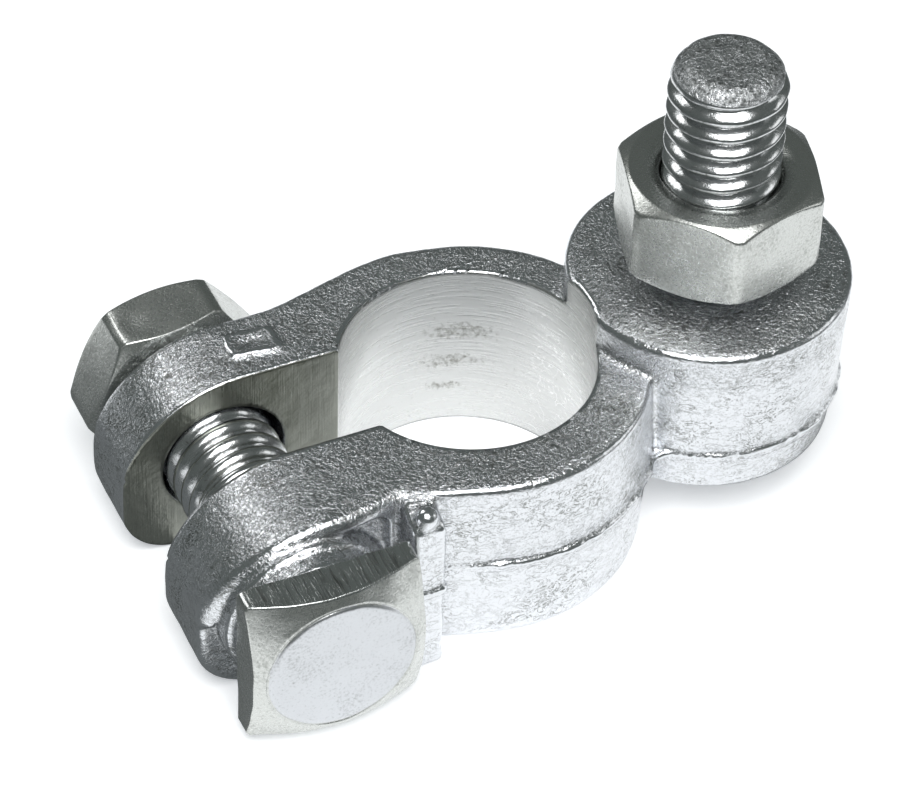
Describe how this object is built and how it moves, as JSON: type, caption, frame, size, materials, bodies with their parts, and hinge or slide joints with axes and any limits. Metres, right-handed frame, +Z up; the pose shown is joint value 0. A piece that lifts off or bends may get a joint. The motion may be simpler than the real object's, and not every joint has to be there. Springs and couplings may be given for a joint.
{
  "type": "battery terminal clamp",
  "caption": "Split-ring battery terminal clamp with a square-headed pinch bolt and an upright threaded stud and nut for the cable lug.",
  "frame": {"origin": "on the battery post's axis, in the plane that the ring and the ears stand on", "axes": "+Z up along the post; +X from the post to the stud; the slot opens along -X and the pinch bolt lies along Y with its head on the -Y side"},
  "size_m": [0.0511, 0.0332, 0.0334],
  "materials": {
    "plated_forging": "tin-plated hot forging, satin with fine crinkle",
    "zinc_fastener": "bright zinc-plated steel"
  },
  "bodies": {
    "clamp": {"clamp_body": "plated_forging", "stud_bolt": "zinc_fastener"},
    "pinch_bolt": {"pinch_bolt": "zinc_fastener"},
    "pinch_nut": {"pinch_nut": "zinc_fastener"},
    "stud_nut": {"stud_nut": "zinc_fastener"}
  },
  "joints": [
    {"name": "pinch_bolt_slide", "type": "slide", "parent": "clamp", "child": "pinch_bolt", "axis": [0, -1, 0], "range_m": [0, 0.005]},
    {"name": "pinch_nut_turn", "type": "hinge", "parent": "clamp", "child": "pinch_nut", "pos_m": [-0.0161, 0.0107, 0.00688], "axis": [0, 1, 0], "range_deg": [0, 1277]},
    {"name": "stud_nut_travel", "type": "slide", "parent": "clamp", "child": "stud_nut", "axis": [0, 0, 1], "range_m": [-0.0017, 0.0125]}
  ],
  "couplings": [
    {"joint": "pinch_nut_turn", "follows": "pinch_bolt_slide", "rad_per_m": 4456.2}
  ]
}
